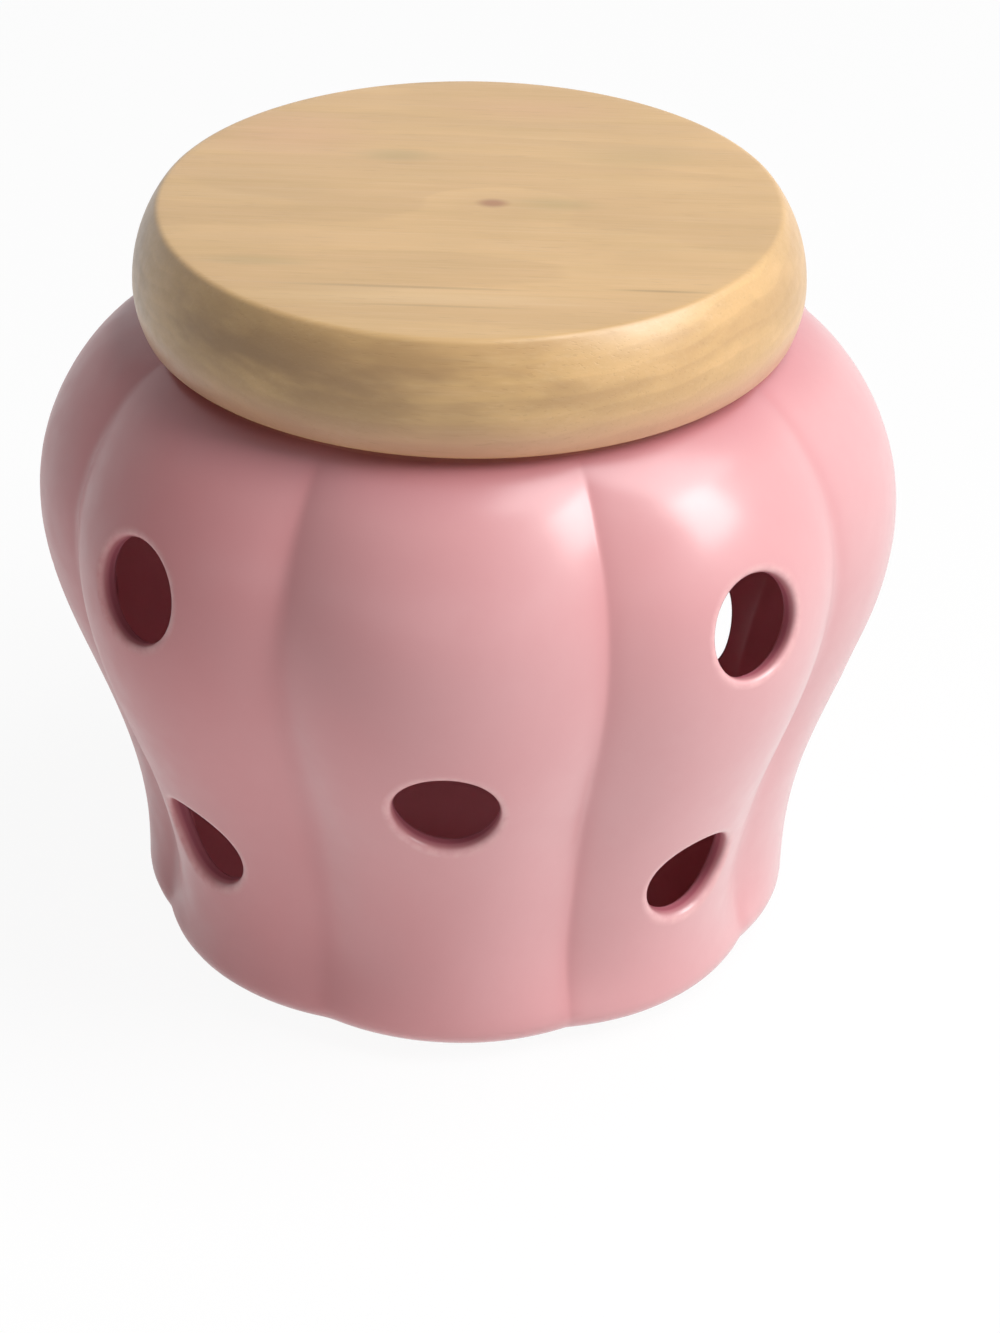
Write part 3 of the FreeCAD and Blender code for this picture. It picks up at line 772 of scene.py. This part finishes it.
class Shader:
    """One material's node tree, with short calls to add nodes. A value is a number, a tuple or a socket."""

    def __init__(self, name):
        self.material = bpy.data.materials.new(name)
        self.material.use_nodes = True
        self.tree = self.material.node_tree
        self.surface = self.tree.nodes["Principled BSDF"]

    def node(self, kind, inputs, **settings):
        made = self.tree.nodes.new(kind)
        for name, value in settings.items():
            setattr(made, name, value)
        for name, value in inputs.items():
            self.set(made.inputs[name], value)
        return made

    def set(self, socket, value):
        if isinstance(value, bpy.types.NodeSocket):
            self.tree.links.new(value, socket)
        else:
            socket.default_value = value

    def finish(self, **inputs):
        """Set the surface's sockets, their names written with underscores, and return the material."""
        for name, value in inputs.items():
            self.set(self.surface.inputs[name.replace("_", " ")], value)
        return self.material

    def place(self):
        """The place on the object in millimetres."""
        where = self.node("ShaderNodeTexCoord", {}).outputs["Object"]
        return self.stretch(where, (1 / MM, 1 / MM, 1 / MM))

    def facing(self):
        """The three parts of the direction that the surface faces."""
        return self.split(self.node("ShaderNodeTexCoord", {}).outputs["Normal"])

    def stretch(self, vector, scale):
        return self.node("ShaderNodeVectorMath", {0: vector, 1: scale}, operation="MULTIPLY").outputs[0]

    def split(self, vector):
        return self.node("ShaderNodeSeparateXYZ", {0: vector}).outputs

    def away(self, place, point, scale):
        """How far a place is from a point, with each axis stretched."""
        apart = self.node("ShaderNodeVectorMath", {0: place, 1: point}, operation="SUBTRACT").outputs[0]
        stretched = self.stretch(apart, scale)
        return self.node("ShaderNodeVectorMath", {0: stretched}, operation="LENGTH").outputs["Value"]

    def noise(self, place, scale, detail=2.0, roughness=0.5):
        """Noise with about so many features to a millimetre along each axis."""
        vector = self.stretch(place, scale)
        inputs = {"Vector": vector, "Scale": 1.0, "Detail": detail, "Roughness": roughness}
        return self.node("ShaderNodeTexNoise", inputs).outputs["Fac"]

    def math(self, operation, first, second=0.0):
        return self.node("ShaderNodeMath", {0: first, 1: second}, operation=operation).outputs[0]

    def times(self, first, second):
        return self.math("MULTIPLY", first, second)

    def plus(self, first, second, share):
        """A value and a share of another."""
        return self.math("ADD", first, self.times(second, share))

    def span(self, value, low, high, to_low=0.0, to_high=1.0, smooth=True):
        """Map a value's span from low to high onto another, held at its ends."""
        inputs = {"Value": value, "From Min": low, "From Max": high, "To Min": to_low, "To Max": to_high}
        kind = "SMOOTHSTEP" if smooth else "LINEAR"
        return self.node("ShaderNodeMapRange", inputs, interpolation_type=kind).outputs["Result"]

    def blend(self, share, first, second):
        """A colour between two."""
        made = self.node("ShaderNodeMix", {}, data_type="RGBA")
        for index, value in ((0, share), (6, first), (7, second)):
            self.set(made.inputs[index], value)
        return made.outputs[2]

    def shade(self, name):
        """One of the mesh's own named shades."""
        return self.node("ShaderNodeAttribute", {}, attribute_name=name).outputs["Fac"]

    def bump(self, height, distance, strength):
        """A normal bent by a relief whose full height is the distance, in millimetres."""
        inputs = {"Height": height, "Distance": distance * MM, "Strength": strength}
        return self.node("ShaderNodeBump", inputs).outputs["Normal"]


def glaze_colour(shader, place, sideways):
    """Glaze with painted shade at the left, painted light at the right, pale lips, deep creases, a brightened
    red inside and painted shade in bores and under the lid.
    """
    drift = shader.noise(place, (0.028, 0.028, 0.02), 3.0)
    # Painted light across the jar, shade at the left and light at the right; thin adds the random drift to
    # it.
    painted_side_light = shader.span(sideways, *SHADED_TO_LIT, 0.0, 0.7, smooth=False)
    thin = shader.math("ADD", painted_side_light, shader.span(drift, 0.3, 0.7, 0.0, 0.3))
    colour = shader.blend(thin, GLAZE_SHADED_LEFT, GLAZE_LIT_RIGHT)
    cloud = shader.noise(place, (0.11, 0.11, 0.08), 4.0, 0.6)
    colour = shader.blend(shader.span(cloud, 0.35, 0.75, 0.0, 0.20), colour, GLAZE_CLOUD)
    colour = shader.blend(shader.times(shader.shade("crease"), 0.35), colour, GLAZE_CREASE)
    ragged = shader.noise(place, (0.7, 0.7, 0.7), 3.0)
    lip = shader.times(shader.shade("lip"), shader.span(ragged, 0.3, 0.7, 0.15, 0.40))
    colour = shader.blend(lip, colour, GLAZE_LIP)
    # The inside's redder tone, painted brighter in place of the light inside.
    colour = shader.blend(shader.shade("inside"), colour, GLAZE_INSIDE_BRIGHTENED)
    # Painted shade in the bores and under the lid.
    return shader.blend(shader.shade("pool"), colour, GLAZE_PAINTED_SHADE)


def glaze_material():
    """Pink glaze, duller at the left and glossier at the right, with bare clay under the foot."""
    shader = Shader("glaze")
    place = shader.place()
    sideways = shader.split(place)[0]
    inside = shader.shade("inside")
    bare = shader.span(shader.shade("bare"), 0.3, 0.7)
    clay = shader.blend(shader.noise(place, (3.0, 3.0, 3.0), 3.0), CLAY_DARK, CLAY_PALE)
    colour = shader.blend(bare, glaze_colour(shader, place, sideways), clay)
    rough = shader.span(shader.noise(place, (0.2, 0.2, 0.2), 3.0), 0.3, 0.7, 0.38, 0.46)
    rough = shader.plus(rough, bare, 0.5)
    rough = shader.plus(rough, inside, 0.3)
    peel = shader.noise(place, (0.33, 0.33, 0.33), 1.0)
    fine = shader.noise(place, (1.6, 1.6, 1.6))
    normal = shader.bump(shader.plus(peel, fine, 0.12), 0.05, 0.5)
    glossy = shader.span(sideways, *DULL_TO_GLOSSY, *COAT_WEIGHTS)
    coat = shader.times(glossy, shader.math("SUBTRACT", 1.0, inside))
    return shader.finish(
        Base_Color=colour,
        Roughness=rough,
        Normal=normal,
        Specular_IOR_Level=0.30,
        Coat_Weight=coat,
        Coat_Roughness=0.25,
    )


def wood_rings(shader, place, from_knot):
    """The growth rings, 1 in the late wood: they sway along the board and bend around the knot."""
    ring = shader.away(place, HEART, (0, 1, 1))
    ring = shader.plus(ring, shader.noise(place, (0.010, 0.045, 0.045)), GROWTH_SWAY)
    ring = shader.plus(ring, shader.noise(place, (0.035, 0.16, 0.16)), GROWTH_RIPPLE)
    ring = shader.plus(ring, shader.span(from_knot, 0.0, 6.0, 1.0, 0.0), GROWTH_AT_KNOT)
    phase = shader.math("FRACT", shader.times(ring, GROWTHS_PER_MM))
    return shader.times(shader.span(phase, 0.0, 0.75), shader.span(phase, 0.88, 1.0, 1.0, 0.0))


def wood_top(shader, place, colour, streak, upward):
    """The marks on the lid's top, worn along the streaks."""
    for x, y, half_long, half_wide, strength, tone in TOP_MARKS:
        worn = shader.away(place, (x, y, 0), (1 / half_long, 1 / half_wide, 0))
        worn = shader.plus(worn, streak, 0.7)
        there = shader.times(shader.span(worn, 0.4, 1.3, strength, 0.0), upward)
        colour = shader.blend(there, colour, tone)
    return colour


def wood_side(shader, place, colour, facing):
    """The lid's side: a mottle darkened as painted shade, most at the left and high up, and a painted pink
    reflection of the glaze just above the rim.
    """
    height = shader.split(place)[2]
    side = shader.span(shader.math("ABSOLUTE", facing[2]), 0.2, 0.9, 1.0, 0.0)
    mottle = shader.span(shader.noise(place, (0.06, 0.06, 0.17), 3.0), 0.32, 0.62)
    turned_left = shader.span(facing[0], -0.6, 0.9, 0.76, 0.32)
    # The wood's mottle, darkened as painted shade where the side faces left.
    painted_side_shade = shader.times(shader.times(side, turned_left), mottle)
    painted_side_shade = shader.times(painted_side_shade, shader.span(height, RIM + 3, RIM + 12, 0.35, 1.0))
    colour = shader.blend(painted_side_shade, colour, WOOD_SIDE_SHADE)
    # Painted pink reflection of the glaze, low on the side.
    below = shader.times(side, shader.span(height, RIM, RIM + 7, 0.65, 0.0))
    return shader.blend(below, colour, WOOD_PAINTED_BOUNCE)


def wood_material():
    """Pale plain-sawn wood in satin: its grain along X, a knot and worn marks on top, and painted shade and a
    painted pink reflection on its side.
    """
    shader = Shader("wood")
    place = shader.place()
    facing = shader.facing()
    from_knot = shader.away(place, KNOT, KNOT_STRETCH)
    fibre = shader.noise(place, (0.05, 2.4, 2.4), 4.0, 0.65)
    streak = shader.noise(place, (0.02, 0.5, 0.5), 3.0, 0.6)
    cloud = shader.noise(place, (0.03, 0.06, 0.06), 3.0, 0.55)
    pores = shader.span(shader.noise(place, (0.22, 3.5, 3.5), 1.0), 0.62, 0.72)
    colour = shader.blend(shader.span(cloud, 0.3, 0.7), WOOD_DARK, WOOD_PALE)
    colour = shader.blend(shader.times(wood_rings(shader, place, from_knot), 0.30), colour, WOOD_RING)
    colour = shader.blend(shader.span(streak, 0.45, 0.8, 0.0, 0.35), colour, WOOD_STREAK)
    colour = shader.blend(shader.span(fibre, 0.45, 0.8, 0.0, 0.30), colour, WOOD_FIBRE)
    colour = wood_top(shader, place, colour, streak, shader.span(facing[2], 0.8, 0.98))
    colour = shader.blend(shader.span(from_knot, *KNOT_FADE, 0.85, 0.0), colour, WOOD_KNOT)
    colour = wood_side(shader, place, colour, facing)
    colour = shader.blend(shader.times(pores, 0.22), colour, WOOD_PORE)
    return shader.finish(
        Base_Color=colour,
        Roughness=shader.span(streak, 0.3, 0.8, 0.38, 0.50),
        Normal=shader.bump(shader.plus(fibre, pores, -0.8), 0.05, 0.35),
        Coat_Weight=0.42,
        Coat_Roughness=0.32,
    )


def silicone_material():
    """Milky silicone with a trace of the wood's dust on it."""
    shader = Shader("silicone")
    place = shader.place()
    cloud = shader.noise(place, (0.12, 0.12, 0.4), 3.0)
    dust = shader.noise(place, (0.9, 0.9, 0.9), 4.0, 0.7)
    colour = shader.blend(shader.span(cloud, 0.3, 0.7), SILICONE_DARK, SILICONE_PALE)
    colour = shader.blend(shader.span(dust, 0.6, 0.75, 0.0, 0.3), colour, SILICONE_DUST)
    return shader.finish(
        Base_Color=colour,
        Roughness=shader.span(cloud, 0.3, 0.7, 0.42, 0.55),
        Normal=shader.bump(shader.noise(place, (2.0, 2.0, 2.0)), 0.02, 0.4),
        Subsurface_Weight=0.15,
    )


# Studio. Lengths are in metres and angles in degrees.

WHITE = (1.0, 1.0, 1.0, 1)
FLOOR_GREY = (0.86, 0.86, 0.86, 1)
FLOOR_HALF = 2.5
# How white the floor shows, and the strength of the even light from all around.
BACKGROUND_SHARE = 0.93
FILL = 0.12
# The lamps that light the object, which face its middle: azimuth, elevation, distance, size and power.
MIDDLE_HEIGHT = 0.06
KEY = (88, 62, 0.9, 0.6, 5.6)
GLOSS = (72, 37, 0.9, 0.40, 5.0)
# The lamps that light the floor in front, which face down: the azimuth and power of each.
FLOOR_LAMPS = {"floor_front": (-25, 0.38), "floor_right": (45, 0.34)}
FLOOR_LAMP_DISTANCE = 0.42
FLOOR_LAMP_RISE = 0.08
FLOOR_LAMP_SIZE = 0.4


def seen_directly(tree):
    """1 for rays that show the background: from the camera, off gloss and through glass."""
    path = tree.nodes.new("ShaderNodeLightPath")
    total = path.outputs["Is Camera Ray"]
    for name in ("Is Glossy Ray", "Is Transmission Ray"):
        either = tree.nodes.new("ShaderNodeMath")
        either.operation = "MAXIMUM"
        tree.links.new(total, either.inputs[0])
        tree.links.new(path.outputs[name], either.inputs[1])
        total = either.outputs[0]
    return total


def make_world():
    """Even white light, plain white where it is seen."""
    world = bpy.data.worlds.new("studio")
    bpy.context.scene.world = world
    world.use_nodes = True
    tree = world.node_tree
    fill = tree.nodes["Background"]
    fill.inputs["Color"].default_value = WHITE
    fill.inputs["Strength"].default_value = FILL
    white = tree.nodes.new("ShaderNodeBackground")
    white.inputs["Color"].default_value = WHITE
    white.inputs["Strength"].default_value = 1.0
    mix = tree.nodes.new("ShaderNodeMixShader")
    tree.links.new(seen_directly(tree), mix.inputs[0])
    tree.links.new(fill.outputs[0], mix.inputs[1])
    tree.links.new(white.outputs[0], mix.inputs[2])
    tree.links.new(mix.outputs[0], tree.nodes["World Output"].inputs["Surface"])


def make_floor():
    """A pale floor that shows as near white and keeps a faint shadow of the object."""
    corners = [(-1, -1), (1, -1), (1, 1), (-1, 1)]
    mesh = bpy.data.meshes.new("floor")
    mesh.from_pydata([(FLOOR_HALF * x, FLOOR_HALF * y, 0) for x, y in corners], [], [(0, 1, 2, 3)])
    shader = Shader("floor")
    shader.finish(Base_Color=FLOOR_GREY, Roughness=0.9)
    white = shader.node("ShaderNodeEmission", {"Color": WHITE, "Strength": 1.0})
    mix = shader.node("ShaderNodeMixShader", {0: shader.times(seen_directly(shader.tree), BACKGROUND_SHARE)})
    shader.tree.links.new(shader.surface.outputs[0], mix.inputs[1])
    shader.tree.links.new(white.outputs[0], mix.inputs[2])
    shader.tree.links.new(mix.outputs[0], shader.tree.nodes["Material Output"].inputs["Surface"])
    mesh.materials.append(shader.material)
    floor = bpy.data.objects.new("floor", mesh)
    bpy.context.scene.collection.objects.link(floor)


def around(azimuth, elevation, distance):
    """A place around the object's middle. Azimuth 0 is in front and 90 to the right."""
    turn, rise = math.radians(azimuth), math.radians(elevation)
    way = Vector((math.sin(turn) * math.cos(rise), -math.cos(turn) * math.cos(rise), math.sin(rise)))
    return Vector((0, 0, MIDDLE_HEIGHT)) + way * distance


def make_lamp(name, place, aim, size, power):
    """A square soft lamp that faces a point."""
    data = bpy.data.lights.new(name, "AREA")
    data.shape = "SQUARE"
    data.size = size
    data.energy = power
    lamp = bpy.data.objects.new(name, data)
    bpy.context.scene.collection.objects.link(lamp)
    lamp.location = place
    lamp.rotation_euler = (place - aim).to_track_quat("Z", "Y").to_euler()


def make_lamps():
    """A large key high on the right, a smaller lamp below it that gives the gloss, and two over the floor."""
    for name, (azimuth, elevation, distance, size, power) in (("key", KEY), ("gloss", GLOSS)):
        make_lamp(name, around(azimuth, elevation, distance), around(0, 0, 0), size, power)
    for name, (azimuth, power) in FLOOR_LAMPS.items():
        place = around(azimuth, 0, FLOOR_LAMP_DISTANCE) + Vector((0, 0, FLOOR_LAMP_RISE))
        make_lamp(name, place, place - Vector((0, 0, 1)), FLOOR_LAMP_SIZE, power)


# Camera: the photo's viewing angle, with the object's axis a little left of the middle of the picture. The
# distance, the pivot that the angle is taken about and the point looked at are in millimetres.
VIEW_AZIMUTH = math.radians(3.08)
VIEW_ELEVATION = math.radians(30.07)
VIEW_DISTANCE = 566.2
VIEW_PIVOT = 50.7
VIEW_AIM = (5.05, 0.0, 38.56)
VIEW_ROLL = math.radians(0.76)
FOCAL_LENGTH = 102.34
SENSOR = 36.0
CLIP_START = 0.01


def make_camera():
    """The camera of the main view."""
    data = bpy.data.cameras.new("camera")
    data.lens = FOCAL_LENGTH
    data.sensor_width = SENSOR
    data.clip_start = CLIP_START
    camera = bpy.data.objects.new("camera", data)
    bpy.context.scene.collection.objects.link(camera)
    turn = Matrix.Rotation(VIEW_AZIMUTH, 4, "Z")
    out, rise = math.cos(VIEW_ELEVATION), math.sin(VIEW_ELEVATION)
    place = turn @ Vector((0, -VIEW_DISTANCE * out, VIEW_PIVOT + VIEW_DISTANCE * rise)) * MM
    aim = turn @ Vector(VIEW_AIM) * MM
    look = (aim - place).to_track_quat("-Z", "Y").to_matrix().to_4x4()
    camera.matrix_world = Matrix.Translation(place) @ look @ Matrix.Rotation(VIEW_ROLL, 4, "Z")
    bpy.context.scene.camera = camera


make_jar(glaze_material())
make_lid(wood_material())
make_ring(silicone_material())
make_world()
make_floor()
make_lamps()
make_camera()
bpy.context.scene.view_settings.view_transform = "Standard"
